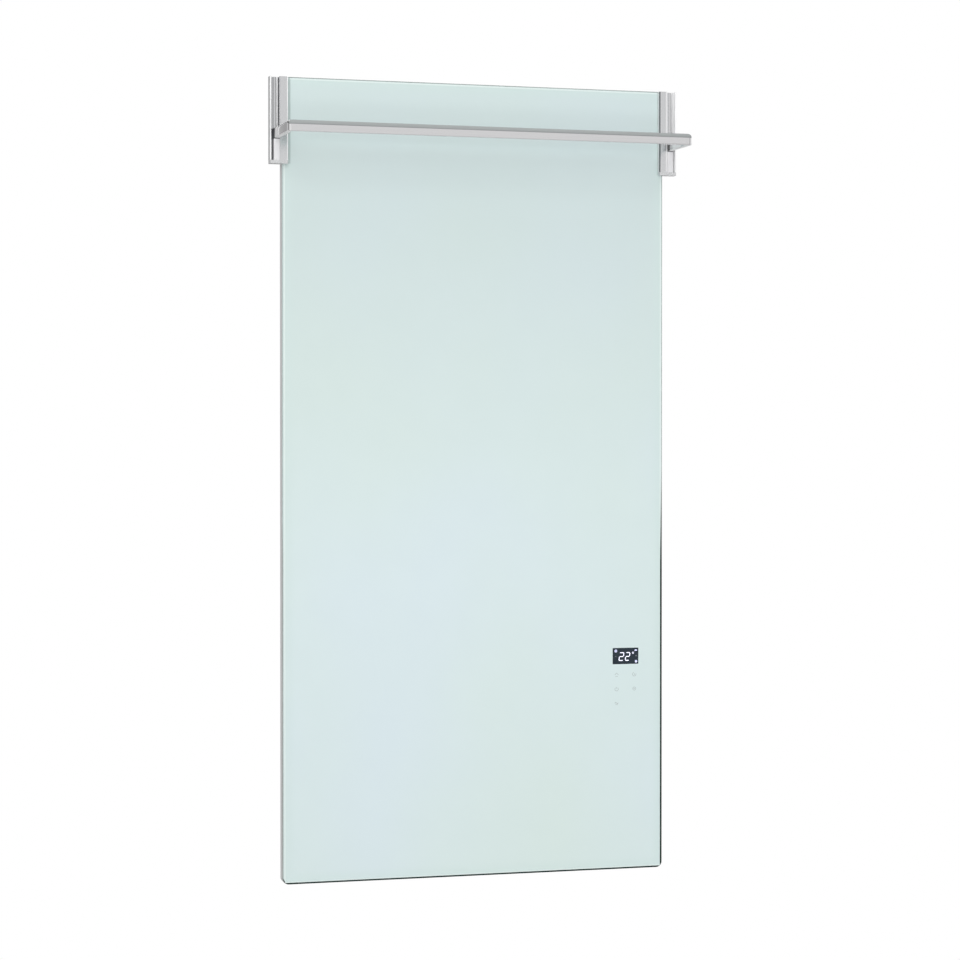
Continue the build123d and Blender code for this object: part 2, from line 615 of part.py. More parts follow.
def near(part, s, t, d, tol=0.05):
    """Upright edges of a side piece at a profile point."""
    x, y = side_pts(s, [(t, d)])[0]
    return [e for e in part.edges().filter_by(Axis.Z) if abs(e.center().X - x) < tol and abs(e.center().Y - y) < tol]


def make_bracket(bp, s):
    prism(s, BRACKET, BR_BOT, BR_TOP)
    fillet(near(bp, s, WING_IN, WING_D), radius=2.3)
    fillet(near(bp, s, WING_OUT, WING_D), radius=0.5)
    fillet(near(bp, s, FLANGE_OUT, FLANGE_D) + near(bp, s, FLANGE_IN, FLANGE_D), radius=1.15)
    fillet(near(bp, s, FLANGE_OUT, FLOOR_BOT), radius=0.8)
    for z in BR_SCREW_Z:
        with Locations(Plane(origin=(s * (HALF_W + WEB_OUT), BR_SCREW_Y, z), z_dir=(s, 0, 0))):
            Cylinder(2.2, 12, mode=Mode.SUBTRACT)
            Cone(2.2, 4.15, 1.95, align=(Align.CENTER, Align.CENTER, Align.MAX), mode=Mode.SUBTRACT)
    for x, y in side_pts(s, CAP_SCREWS):
        with Locations((x, y, BR_BOT)):
            Cylinder(1.3, 12, align=(Align.CENTER, Align.CENTER, Align.MIN), mode=Mode.SUBTRACT)


with BuildPart() as left_bracket:
    make_bracket(left_bracket, -1)
left_bracket.part.label = "left_bracket"

with BuildPart() as right_bracket:
    make_bracket(right_bracket, 1)
right_bracket.part.label = "right_bracket"

with BuildPart() as left_stop_strip:
    prism(-1, STRIP, BR_BOT, STOP_TOP)
left_stop_strip.part.label = "left_stop_strip"

with BuildPart() as right_stop_strip:
    prism(1, STRIP, BR_BOT, STOP_TOP)
right_stop_strip.part.label = "right_stop_strip"


def make_cap(bp, s):
    prism(s, [(WING_IN, FLOOR_BOT + 5.5), (WING_IN, WING_D), (FLANGE_OUT, WING_D), (FLANGE_OUT, FLOOR_BOT), (WEB_IN, FLOOR_BOT), (WEB_IN, FLOOR_BOT + 5.5)], CAP_BOT, BR_BOT)
    fillet(near(bp, s, WING_IN, WING_D), radius=2.3)
    fillet(near(bp, s, FLANGE_OUT, WING_D), radius=2.0)
    fillet(near(bp, s, FLANGE_OUT, FLOOR_BOT), radius=0.8)
    fillet(bp.faces().sort_by(Axis.Z)[0].edges(), radius=0.7)
    for x, y in side_pts(s, CAP_SCREWS):
        with Locations((x, y, CAP_BOT)):
            Cylinder(1.5, 12, mode=Mode.SUBTRACT)
            Cone(2.9, 1.5, 1.4, align=(Align.CENTER, Align.CENTER, Align.MIN), mode=Mode.SUBTRACT)


with BuildPart() as left_end_cap:
    make_cap(left_end_cap, -1)
left_end_cap.part.label = "left_end_cap"

with BuildPart() as right_end_cap:
    make_cap(right_end_cap, 1)
right_end_cap.part.label = "right_end_cap"

with BuildPart() as cap_screws:
    for s in (-1, 1):
        for x, y in side_pts(s, CAP_SCREWS):
            csk_screw(Plane(origin=(x, y, CAP_BOT + 0.05), z_dir=(0, 0, -1)), 2.6, 1.2, 13)
cap_screws.part.label = "cap_screws"

with BuildPart() as bracket_screws:
    for s in (-1, 1):
        for z in BR_SCREW_Z:
            csk_screw(Plane(origin=(s * (HALF_W + WEB_OUT - 0.1), BR_SCREW_Y, z), z_dir=(s, 0, 0)), 3.9, 1.95, 9)
bracket_screws.part.label = "bracket_screws"

with BuildPart() as bracket_nut_plates:
    for s in (-1, 1):
        with Locations((s * (HALF_W - CASE_INSET - SHEET), BR_SCREW_Y, (BR_SCREW_Z[0] + BR_SCREW_Z[1]) / 2 - 0.5)):
            Box(3.0, 7.0, 104, align=(Align.MAX if s > 0 else Align.MIN, Align.CENTER, Align.CENTER))
        for z in BR_SCREW_Z:
            with Locations(Plane(origin=(s * (HALF_W - 2.6), BR_SCREW_Y, z), z_dir=(1, 0, 0))):
                Cylinder(2.0, 6, mode=Mode.SUBTRACT)
bracket_nut_plates.part.label = "bracket_nut_plates"

with BuildPart() as bracket_pads:
    for s in (-1, 1):
        prism(s, [(WING_IN + 0.5, 0), (WING_IN + 0.5, 0.6), (-1.2, 0.6), (-1.2, 0)], BR_BOT + 0.4, Z_TOP - 1.2)
        prism(s, [(-CASE_INSET, -7.2), (WEB_IN, -7.2), (WEB_IN, -16.8), (-CASE_INSET, -16.8)], BR_BOT + 2, Z_TOP - 6)
        for z in BR_SCREW_Z:
            with Locations(Plane(origin=(s * HALF_W, BR_SCREW_Y, z), z_dir=(1, 0, 0))):
                Cylinder(2.3, 4, mode=Mode.SUBTRACT)
bracket_pads.part.label = "bracket_pads"

# ================================================================ towel rail
with BuildPart() as rail_blank:
    xo, xi = HALF_W + ARM_OUT, HALF_W + ARM_IN
    yo, yi, yr = Y_FRONT - BAR_D, Y_FRONT - BAR_D + BAR_T, Y_FRONT - FOOT_D
    with BuildSketch(Plane.XY.offset(BAR_BOT)):
        with BuildLine():
            Polyline((-xo, yr), (-xo, yo), (xo, yo), (xo, yr), (xi, yr), (xi, yi), (-xi, yi), (-xi, yr), close=True)
        make_face()
    extrude(amount=BAR_H)
    fillet([e for e in rail_blank.edges().filter_by(Axis.Z) if abs(abs(e.center().X) - xo) < 0.01 and abs(e.center().Y - yo) < 0.01], radius=6.6)

    def rim(z):
        """Outer edge chain of the rail at height z, without the two rear ends."""
        out = []
        for e in rail_blank.edges():
            c = e.center()
            if abs(c.Z - z) > 0.01:
                continue
            if abs(c.Y - yo) < 0.01 or abs(abs(c.X) - xo) < 0.01 or (e.geom_type == GeomType.CIRCLE and c.Y < yi and abs(c.X) > xi):
                out.append(e)
        return out

    fillet(rim(BAR_BOT + BAR_H), radius=6.0)
    fillet(rim(BAR_BOT), radius=1.2)
    inner = [e for e in rail_blank.edges() if (abs(e.center().Y - yi) < 0.01 or abs(abs(e.center().X) - xi) < 0.01) and e.length > 50 and e.geom_type == GeomType.LINE]
    fillet(inner, radius=0.8)
    for s in (-1, 1):
        with Locations(Plane(origin=(s * (HALF_W + RAIL_SCREW_T), yr, RAIL_SCREW_Z), z_dir=(0, -1, 0))):
            Cylinder(2.0, 17, align=(Align.CENTER, Align.CENTER, Align.MIN), mode=Mode.SUBTRACT)

MITRE_R = Plane(origin=(xo, yo, BAR_BOT), x_dir=(0, 0, 1), z_dir=(-1, -1, 0))    # points to the bar
MITRE_L = Plane(origin=(-xo, yo, BAR_BOT), x_dir=(0, 0, 1), z_dir=(1, -1, 0))

with BuildPart() as towel_bar:
    add(rail_blank.part)
    split(bisect_by=MITRE_R, keep=Keep.TOP)
    split(bisect_by=MITRE_L, keep=Keep.TOP)
towel_bar.part.label = "towel_bar"

with BuildPart() as right_arm:
    add(rail_blank.part)
    split(bisect_by=MITRE_R, keep=Keep.BOTTOM)
    split(bisect_by=Plane.YZ, keep=Keep.TOP)
right_arm.part.label = "right_arm"

with BuildPart() as left_arm:
    add(rail_blank.part)
    split(bisect_by=MITRE_L, keep=Keep.BOTTOM)
    split(bisect_by=Plane.YZ, keep=Keep.BOTTOM)
left_arm.part.label = "left_arm"


def make_foot(bp, s):
    prism(s, FOOT, STOP_TOP, STOP_TOP + FOOT_H)
    fillet(near(bp, s, 14.4, FOOT_D), radius=0.6)
    with Locations(Plane(origin=(s * (HALF_W + RAIL_SCREW_T), Y_FRONT + 0.6, RAIL_SCREW_Z), z_dir=(0, 1, 0))):
        Cylinder(2.1, 30, mode=Mode.SUBTRACT)
        Cone(2.1, 3.5, 1.4, align=(Align.CENTER, Align.CENTER, Align.MAX), mode=Mode.SUBTRACT)


with BuildPart() as left_foot:
    make_foot(left_foot, -1)
left_foot.part.label = "left_foot"

with BuildPart() as right_foot:
    make_foot(right_foot, 1)
right_foot.part.label = "right_foot"

with BuildPart() as rail_screws:
    for s in (-1, 1):
        csk_screw(Plane(origin=(s * (HALF_W + RAIL_SCREW_T), Y_FRONT + 0.55, RAIL_SCREW_Z), z_dir=(0, 1, 0)), 3.3, 1.9, 24)
rail_screws.part.label = "rail_screws"

# ================================================================ write
for piece in (
    front_glass, enamel_backprint, display_window, edge_bond, heating_film, busbars, mica_sheet, reflector_foil, insulation_mat,
    rear_casing, casing_stiffeners, hanging_lugs, lug_rivets, wall_rail_upper, wall_rail_lower, wall_bumpers,
    access_hatch, hatch_screws, cable_grommet, cord_clamp, clamp_screws, earth_stud,
    electronics_box, main_board, board_screws, relay, power_module, terminal_block, mains_fuse,
    display_module, touch_board, touch_pads, display_ribbon, thermal_cutouts, room_sensor, sensor_clip, film_leads,
    switch_body, switch_rocker, switch_terminals, switch_leads,
    left_bracket, right_bracket, left_stop_strip, right_stop_strip, left_end_cap, right_end_cap, cap_screws,
    bracket_screws, bracket_nut_plates, bracket_pads,
    towel_bar, left_arm, right_arm, left_foot, right_foot, rail_screws,
):
    export_step(piece.part, "parts/" + piece.part.label + ".step")
print("bar overall", 2 * (HALF_W + ARM_OUT), "front of bar", Y_FRONT - BAR_D)
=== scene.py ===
import json
import math

import bmesh
import bpy
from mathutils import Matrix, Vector


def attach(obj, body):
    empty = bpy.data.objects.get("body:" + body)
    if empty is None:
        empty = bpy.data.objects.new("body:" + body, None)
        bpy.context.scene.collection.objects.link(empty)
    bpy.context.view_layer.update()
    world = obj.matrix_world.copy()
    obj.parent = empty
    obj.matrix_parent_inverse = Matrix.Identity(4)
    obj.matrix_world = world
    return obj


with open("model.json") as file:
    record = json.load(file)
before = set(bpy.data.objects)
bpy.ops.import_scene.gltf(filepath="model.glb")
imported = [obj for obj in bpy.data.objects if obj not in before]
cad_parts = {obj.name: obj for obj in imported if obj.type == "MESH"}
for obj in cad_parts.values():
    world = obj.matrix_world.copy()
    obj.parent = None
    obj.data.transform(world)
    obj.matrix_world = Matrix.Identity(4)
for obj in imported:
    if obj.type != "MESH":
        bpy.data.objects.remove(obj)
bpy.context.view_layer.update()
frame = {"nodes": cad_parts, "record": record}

nodes = frame["nodes"]
scene = bpy.context.scene
scene.view_settings.view_transform = "Standard"
scene.view_settings.look = "None"
scene.view_settings.exposure = 0.0
scene.view_settings.gamma = 1.0

# ---------------------------------------------------------------- camera
cam_data = bpy.data.cameras.new("camera")
cam_data.lens = 100.25
cam_data.sensor_width = 36.0
cam_data.clip_end = 60.0
cam = bpy.data.objects.new("camera", cam_data)
scene.collection.objects.link(cam)
cam.location = (-1.156, -3.917, 0.049)
cam.rotation_euler = (math.radians(90 - 0.676), 0.0, math.radians(-16.644))
scene.camera = cam


# ---------------------------------------------------------------- material tools
class Tree:
    """Small helper around one material's nodes."""

    def __init__(self, name):
        self.mat = bpy.data.materials.new(name)
        self.mat.use_nodes = True
        self.nt = self.mat.node_tree
        for n in list(self.nt.nodes):
            self.nt.nodes.remove(n)
        self.out = self.nt.nodes.new("ShaderNodeOutputMaterial")
        self.bsdf = self.nt.nodes.new("ShaderNodeBsdfPrincipled")
        self.nt.links.new(self.bsdf.outputs[0], self.out.inputs["Surface"])
        self.tc = self.nt.nodes.new("ShaderNodeTexCoord")

    def link(self, a, b):
        self.nt.links.new(a, b)

    def coords(self, scale):
        m = self.nt.nodes.new("ShaderNodeMapping")
        m.inputs["Scale"].default_value = scale
        self.link(self.tc.outputs["Object"], m.inputs["Vector"])
        return m.outputs[0]

    def noise(self, scale, detail=4.0, rough=0.55, distortion=0.0):
        n = self.nt.nodes.new("ShaderNodeTexNoise")
        n.inputs["Scale"].default_value = 1.0
        n.inputs["Detail"].default_value = detail
        n.inputs["Roughness"].default_value = rough
        n.inputs["Distortion"].default_value = distortion
        self.link(self.coords(scale), n.inputs["Vector"])
        return n.outputs["Fac"]

    def ramp(self, fac, stops, mode="LINEAR"):
        r = self.nt.nodes.new("ShaderNodeValToRGB")
        r.color_ramp.interpolation = mode
        els = r.color_ramp.elements
        while len(els) > 1:
            els.remove(els[-1])
        els[0].position = stops[0][0]
        els[0].color = (*stops[0][1], 1.0)
        for pos, col in stops[1:]:
            e = els.new(pos)
            e.color = (*col, 1.0)
        self.link(fac, r.inputs[0])
        return r.outputs[0]

    def span(self, value, a, b, c, d, smooth=False):
        """value from a..b to c..d, clamped."""
        m = self.nt.nodes.new("ShaderNodeMapRange")
        m.interpolation_type = "SMOOTHSTEP" if smooth else "LINEAR"
        for k, v in zip(("From Min", "From Max", "To Min", "To Max"), (a, b, c, d)):
            m.inputs[k].default_value = v
        self.link(value, m.inputs["Value"])
        return m.outputs[0]

    def math(self, op, a, b=None, c=None):
        m = self.nt.nodes.new("ShaderNodeMath")
        m.operation = op
        for i, v in enumerate((a, b, c)):
            if v is None:
                continue
            if isinstance(v, (int, float)):
                m.inputs[i].default_value = v
            else:
                self.link(v, m.inputs[i])
        return m.outputs[0]

    def xyz(self):
        s = self.nt.nodes.new("ShaderNodeSeparateXYZ")
        self.link(self.tc.outputs["Object"], s.inputs[0])
        return s.outputs

    def normal(self):
        g = self.nt.nodes.new("ShaderNodeNewGeometry")
        s = self.nt.nodes.new("ShaderNodeSeparateXYZ")
        self.link(g.outputs["Normal"], s.inputs[0])
        return s.outputs

    def mix(self, fac, a, b):
        m = self.nt.nodes.new("ShaderNodeMix")
        m.data_type = "RGBA"
        m.clamp_factor = True
        if isinstance(fac, (int, float)):
            m.inputs[0].default_value = fac
        else:
            self.link(fac, m.inputs[0])
        for sock, v in ((m.inputs[6], a), (m.inputs[7], b)):
            if isinstance(v, tuple):
                sock.default_value = (*v, 1.0)
            else:
                self.link(v, sock)
        return m.outputs[2]

    def bump(self, height, strength, distance):
        b = self.nt.nodes.new("ShaderNodeBump")
        b.inputs["Strength"].default_value = strength
        b.inputs["Distance"].default_value = distance
        self.link(height, b.inputs["Height"])
        self.link(b.outputs[0], self.bsdf.inputs["Normal"])

    def set(self, **kw):
        for k, v in kw.items():
            self.bsdf.inputs[k.replace("_", " ")].default_value = v


def surface(name, dark, light, rough=(0.35, 0.5), scale=(60, 60, 60), metallic=0.0, coat=0.0, coat_rough=0.05,
            bump=0.0, bump_scale=(900, 900, 900), bump_mm=0.05, detail=4.0, specks=None):
    """Two-tone mottled surface with its own roughness pattern and fine relief."""
    t = Tree(name)
    f = t.noise(scale, detail)
    col = t.ramp(f, [(0.30, dark), (0.70, light)])
    if specks:
        s = t.noise(tuple(v * 9 for v in scale), 2.0)
        col = t.mix(t.span(s, 0.60, 0.68, 0.0, 1.0), col, specks)
    t.link(col, t.bsdf.inputs["Base Color"])
    g = t.noise(tuple(v * 2.3 for v in scale), 3.0)
    t.link(t.span(g, 0.3, 0.7, rough[0], rough[1]), t.bsdf.inputs["Roughness"])
    t.set(Metallic=metallic, Coat_Weight=coat, Coat_Roughness=coat_rough)
    if bump:
        t.bump(t.noise(bump_scale, 3.0), bump, bump_mm * 0.001)
    return t.mat


# ---------------------------------------------------------------- the materials
def glass_material():
    """Tempered glass over mint-white enamel: soft clouding on the face with painted shade toward the top, green
    polished edges painted darker toward the bottom as shade and lighter on the left as painted light, a bright line
    just inside them, and a painted contact shadow next to the left bracket.
    """
    t = Tree("glass_mint")
    x, y, z = t.xyz()[0:3]
    ex = t.math("SUBTRACT", 0.3, t.math("ABSOLUTE", x))
    ez = t.math("SUBTRACT", 0.6, t.math("ABSOLUTE", z))
    e = t.math("MINIMUM", ex, ez)
    cloud = t.noise((2.4, 2.4, 1.9), 2.0, 0.45)
    face = t.ramp(cloud, [(0.34, (0.650, 0.765, 0.735)), (0.50, (0.655, 0.768, 0.765)), (0.68, (0.658, 0.764, 0.800))])
    fine = t.noise((26.0, 26.0, 22.0), 3.0)
    face = t.mix(t.span(fine, 0.3, 0.7, 0.0, 0.05), face, (0.72, 0.83, 0.80))
    # painted shade: the face is darkened toward the top, eased off again at the bar's height
    top = t.math("SUBTRACT", t.span(z, -0.18, 0.52, 0.0, 0.47, smooth=True), t.span(z, 0.495, 0.535, 0.0, 0.09))
    face = t.mix(top, face, (0.500, 0.592, 0.588))
    rim = t.span(e, 0.002, 0.022, 0.42, 0.0, smooth=True)
    face = t.mix(rim, face, (0.60, 0.735, 0.705))
    # the edge band is drawn wider toward the bottom, as part of the painted shade there
    band_x = t.span(z, 0.02, -0.12, 0.0012, 0.0032)
    band_z = t.span(z, 0.02, -0.12, 0.0012, 0.0025)
    hair = t.math("MULTIPLY", t.span(e, 0.0016, 0.0022, 0.0, 1.0), t.span(e, 0.0032, 0.0044, 1.0, 0.0))
    face = t.mix(t.math("MULTIPLY", hair, 0.45), face, (0.86, 0.93, 0.90))
    streak = t.noise((9.0, 9.0, 9.0), 3.0)
    # dark green polished edge; painted darker toward the bottom as shade, and painted lighter on the left edge as light
    # falling on it
    edge_dark_shaded = t.ramp(streak, [(0.35, (0.010, 0.022, 0.019)), (0.65, (0.032, 0.050, 0.045))])
    edge_mid = t.ramp(streak, [(0.35, (0.150, 0.190, 0.180)), (0.65, (0.270, 0.320, 0.305))])
    edge_lit = t.ramp(streak, [(0.35, (0.420, 0.480, 0.465)), (0.65, (0.520, 0.580, 0.565))])
    lower = t.span(z, 0.02, -0.14, 0.0, 1.0)
    edge = t.mix(lower, edge_mid, edge_dark_shaded)
    left = t.math("MULTIPLY", t.span(x, -0.2955, -0.2965, 0.0, 1.0), t.span(ez, 0.004, 0.010, 0.0, 1.0))
    edge = t.mix(left, edge, edge_lit)
    over_x = t.math("SUBTRACT", ex, t.math("SUBTRACT", band_x, t.math("MULTIPLY", left, 0.0025)))
    over = t.math("MINIMUM", over_x, t.math("SUBTRACT", ez, band_z))
    on_edge = t.span(over, -0.0001, 0.0002, 1.0, 0.0)
    # painted contact shadow on the glass next to the left bracket's inner edge
    bracket_contact_shadow = t.math("MULTIPLY", t.span(z, 0.4705, 0.4725, 0.0, 1.0), t.span(x, -0.2890, -0.2872, 0.44, 0.0))
    face = t.mix(bracket_contact_shadow, face, (0.20, 0.26, 0.25))
    t.link(t.mix(on_edge, face, edge), t.bsdf.inputs["Base Color"])
    matt = t.math("MULTIPLY", t.math("MULTIPLY", on_edge, lower), t.math("SUBTRACT", 1.0, left))
    keep = t.math("SUBTRACT", 1.0, matt)
    t.link(t.math("MULTIPLY", keep, 0.6), t.bsdf.inputs["Coat Weight"])
    t.link(t.math("MULTIPLY", keep, 0.5), t.bsdf.inputs["Specular IOR Level"])
    t.link(t.span(fine, 0.3, 0.7, 0.10, 0.16), t.bsdf.inputs["Roughness"])
    t.set(IOR=1.5, Coat_Roughness=0.04)
    t.bump(t.noise((14.0, 14.0, 11.0), 1.0), 0.05, 0.0004)
    return t.mat


def bracket_material():
    """Drawn aluminium: fine lines along the extrusion, with painted highlights in matt white on the lips, ridge and
    edges, painted shade in the left bracket's channel and on its flange side, and a painted dark reflection on the
    right wing's inner edge.
    """
    t = Tree("aluminium_drawn")
    x, y, z = t.xyz()[0:3]
    lines = t.noise((2600, 2600, 5), 3.0)
    col = t.ramp(lines, [(0.30, (0.78, 0.79, 0.805)), (0.70, (0.88, 0.885, 0.895))])
    t_out = t.math("SUBTRACT", t.math("ABSOLUTE", x), 0.3)
    depth = t.math("SUBTRACT", -0.031, y)
    is_right = t.span(x, -0.1, 0.1, 0.0, 1.0)
    is_left = t.math("SUBTRACT", 1.0, is_right)

    def box(t0, t1, d0, d1, soft=0.0002):
        a = t.math("MULTIPLY", t.span(t_out, t0 - soft, t0, 0.0, 1.0), t.span(t_out, t1, t1 + soft, 1.0, 0.0))
        b = t.math("MULTIPLY", t.span(depth, d0 - soft, d0, 0.0, 1.0), t.span(depth, d1, d1 + soft, 1.0, 0.0))
        return t.math("MULTIPLY", a, b)

    # painted shade: the left bracket's channel is darkened where its flange and wing shade it
    channel_shade = t.math("MULTIPLY", box(0.0032, 0.0178, -0.0050, -0.0020), t.math("MULTIPLY", is_left, 0.34))
    col = t.mix(channel_shade, col, (0.10, 0.105, 0.115))
    # painted shade on the outer side face of the left bracket's flange
    col = t.mix(t.math("MULTIPLY", box(0.0201, 0.0210, -0.0060, 0.0035), t.math("MULTIPLY", is_left, 0.45)), col, (0.20, 0.205, 0.215))
    # painted dark reflection along the rounded inner edge of the right bracket's wing
    col = t.mix(t.math("MULTIPLY", box(-0.0080, -0.0062, 0.0062, 0.0081), is_right), col, (0.115, 0.12, 0.13))
    # painted highlight along the rounded inner edge of the left bracket's wing
    col = t.mix(t.math("MULTIPLY", box(-0.0080, -0.0065, 0.0040, 0.0090), is_left), col, (0.96, 0.965, 0.97))
    # painted highlights: lips, ridge, rounded inner edge, the step next to the channel, the right wing's inner side and
    # the right channel wall are painted pale, matt and not metal
    below = t.span(z, 0.5065, 0.5085, 1.0, 0.0)
    lip = box(0.0176, 0.0202, 0.0050, 0.0070)
    lip_r = t.math("MULTIPLY", box(0.0176, 0.0206, 0.0050, 0.0070), is_right)
    ridge = t.math("MULTIPLY", box(0.0068, 0.0089, -0.0013, -0.0008), is_left)
    inner = t.math("MULTIPLY", box(-0.0065, -0.0055, 0.0050, 0.0090), is_left)
    step = t.math("MULTIPLY", box(0.0030, 0.0056, 0.0070, 0.0090, 0.0004), t.math("MULTIPLY", is_right, 0.60))
    side = t.math("MULTIPLY", box(-0.0080, -0.0072, 0.0005, 0.0060), t.math("MULTIPLY", is_right, 0.7))
    wall = t.math("MULTIPLY", box(0.0160, 0.0180, -0.0035, 0.0052), t.math("MULTIPLY", is_right, t.span(below, 0.0, 1.0, 0.92, 1.0)))
    white = lip
    for m in (lip_r, ridge, inner, step, side, wall):
        white = t.math("MAXIMUM", white, m)
    pale = t.ramp(lines, [(0.30, (0.88, 0.885, 0.89)), (0.70, (0.94, 0.94, 0.945))])
    t.link(t.mix(white, col, pale), t.bsdf.inputs["Base Color"])
    t.link(t.math("SUBTRACT", 1.0, white), t.bsdf.inputs["Metallic"])
    t.link(t.math("ADD", t.span(lines, 0.3, 0.7, 0.18, 0.28), t.math("MULTIPLY", white, 0.25)), t.bsdf.inputs["Roughness"])
    t.bump(t.noise((5200, 5200, 9), 2.0), 0.06, 0.00002)
    return t.mat


def rail_material(name, along):
    """Polished plated metal with a faint drawing grain along its length: a painted dark reflection on the bar's upper
    shoulder; on the arms painted highlights at the roots and along the top and bottom edges, painted shade toward the
    front ends and a painted dark reflection on the right arm's inner root.
    """
    t = Tree(name)
    long_s, cross = 4.0, 2400.0
    sc = tuple(long_s if i == along else cross for i in range(3))
    lines = t.noise(sc, 3.0)
    blot = t.noise((16, 16, 16), 2.0)
    x, y, z = t.xyz()[0:3]
    col = t.ramp(lines, [(0.30, (0.790, 0.785, 0.795)), (0.70, (0.860, 0.855, 0.863))])
    col = t.mix(t.span(blot, 0.35, 0.65, 0.0, 0.10), col, (0.76, 0.765, 0.78))
    rough = t.span(lines, 0.3, 0.7, 0.07, 0.13)
    if along == 0:
        # painted dark reflection along the bar's upper shoulder, with a darker line in it; the zone is also made
        # rougher and mostly not metal
        painted_light_zone = t.span(z, 0.5186, 0.5192, 0.0, 1.0)
        line = t.math("MULTIPLY", t.span(z, 0.5184, 0.5190, 0.0, 1.0), t.span(z, 0.5196, 0.5204, 1.0, 0.0))
        pale = t.ramp(lines, [(0.30, (0.315, 0.335, 0.335)), (0.70, (0.355, 0.375, 0.375))])
        pale = t.mix(line, pale, (0.25, 0.26, 0.265))
        metal = t.span(painted_light_zone, 0.0, 1.0, 1.0, 0.12)
    else:
        is_right = t.span(x, -0.1, 0.1, 0.0, 1.0)
        # painted highlights: pale matt patches at the arm roots and pale lines along the top and bottom edges
        root_l = t.math("MULTIPLY", t.span(y, -0.0610, -0.0570, 0.0, 1.0), t.math("SUBTRACT", 1.0, is_right))
        root_r = t.math("MULTIPLY", t.span(y, -0.0980, -0.0940, 0.0, 1.0), t.math("MULTIPLY", t.span(y, -0.0610, -0.0580, 1.0, 0.25), is_right))
        root = t.math("MAXIMUM", root_l, root_r)
        edges = t.math("MAXIMUM", t.span(z, 0.5232, 0.5238, 0.0, 1.0), t.span(z, 0.5091, 0.5096, 1.0, 0.0))
        painted_light_zone = t.math("MAXIMUM", root, edges)
        # painted shade: the arms are darkened toward their front ends
        front = t.span(y, -0.060, -0.115, 0.0, 0.50, smooth=True)
        col = t.mix(front, col, (0.36, 0.36, 0.375))
        # painted dark reflection on the right arm's inner side at its root
        inner = t.math("MULTIPLY", t.span(x, 0.3062, 0.3068, 1.0, 0.0), is_right)
        shade = t.math("MULTIPLY", inner, t.span(y, -0.0500, -0.0480, 0.0, 0.95))
        pale = t.ramp(lines, [(0.30, (0.90, 0.90, 0.905)), (0.70, (0.96, 0.96, 0.965))])
        pale = t.mix(shade, pale, (0.03, 0.03, 0.034))
        col = t.mix(shade, col, (0.03, 0.03, 0.034))
        metal = t.math("SUBTRACT", 1.0, painted_light_zone)
    t.link(t.mix(painted_light_zone, col, pale), t.bsdf.inputs["Base Color"])
    t.link(metal, t.bsdf.inputs["Metallic"])
    t.link(t.math("ADD", rough, t.math("MULTIPLY", painted_light_zone, 0.42)), t.bsdf.inputs["Roughness"])
    t.bump(t.noise(tuple(v * 1.7 for v in sc), 2.0), 0.04, 0.00002)
    return t.mat


def strip_material():
    """Pale moulded strip, with painted shade darkening its rear ledge on the left side."""
    t = Tree("strip_moulding")
    x, y, z = t.xyz()[0:3]
    f = t.noise((30, 30, 6), 4.0)
    col = t.ramp(f, [(0.30, (0.72, 0.72, 0.735)), (0.70, (0.785, 0.785, 0.80))])
    # painted shade on the rear ledge of the left strip
    col = t.mix(t.math("MULTIPLY", t.span(y, -0.0345, -0.0325, 0.0, 0.80), t.span(x, -0.1, 0.1, 1.0, 0.0)), col, (0.075, 0.08, 0.09))
    t.link(col, t.bsdf.inputs["Base Color"])
    t.link(t.span(t.noise((70, 70, 14), 3.0), 0.3, 0.7, 0.34, 0.46), t.bsdf.inputs["Roughness"])
    t.bump(t.noise((900, 900, 900), 3.0), 0.1, 0.00005)
    return t.mat


def board_material():
    """Solder resist with paler copper runs under it."""
    t = Tree("board_resist")
    v = t.nt.nodes.new("ShaderNodeTexVoronoi")
    v.feature = "DISTANCE_TO_EDGE"
    v.inputs["Scale"].default_value = 1.0
    t.link(t.coords((210, 210, 210)), v.inputs["Vector"])
    f = t.noise((120, 120, 120), 3.0)
    col = t.ramp(f, [(0.3, (0.016, 0.115, 0.055)), (0.7, (0.022, 0.160, 0.078))])
    col = t.mix(t.span(v.outputs["Distance"], 0.03, 0.07, 0.55, 0.0), col, (0.06, 0.30, 0.15))
    t.link(col, t.bsdf.inputs["Base Color"])
    t.link(t.span(f, 0.3, 0.7, 0.28, 0.42), t.bsdf.inputs["Roughness"])
    return t.mat


def mat_material():
    """Needled fibre blanket."""
    t = Tree("fibre_mat")
    a = t.noise((900, 900, 140), 4.0, 0.6, 0.6)
    b = t.noise((140, 900, 900), 4.0, 0.6, 0.6)
    m = t.math("MAXIMUM", a, b)
    t.link(t.ramp(m, [(0.42, (0.50, 0.46, 0.34)), (0.72, (0.80, 0.77, 0.66))]), t.bsdf.inputs["Base Color"])
    t.link(t.span(m, 0.3, 0.7, 0.85, 0.95), t.bsdf.inputs["Roughness"])
    t.bump(m, 0.6, 0.0006)
    return t.mat


def window_material():
    """Smoked display pane, almost black with a trace of blue."""
    t = Tree("display_smoke")
    f = t.noise((70, 70, 70), 3.0)
    t.link(t.ramp(f, [(0.3, (0.014, 0.023, 0.033)), (0.7, (0.024, 0.036, 0.050))]), t.bsdf.inputs["Base Color"])
    t.link(t.span(f, 0.3, 0.7, 0.10, 0.20), t.bsdf.inputs["Roughness"])
    t.set(Specular_IOR_Level=0.3)
    return t.mat


def lit_material(name, colour, strength):
    """Lit display segment."""
    t = Tree(name)
    f = t.noise((500, 500, 500), 2.0)
    t.link(t.ramp(f, [(0.3, tuple(c * 0.92 for c in colour)), (0.7, colour)]), t.bsdf.inputs["Base Color"])
    t.link(t.span(f, 0.3, 0.7, 0.35, 0.5), t.bsdf.inputs["Roughness"])
    t.bsdf.inputs["Emission Color"].default_value = (*colour, 1.0)
    t.bsdf.inputs["Emission Strength"].default_value = strength
    return t.mat


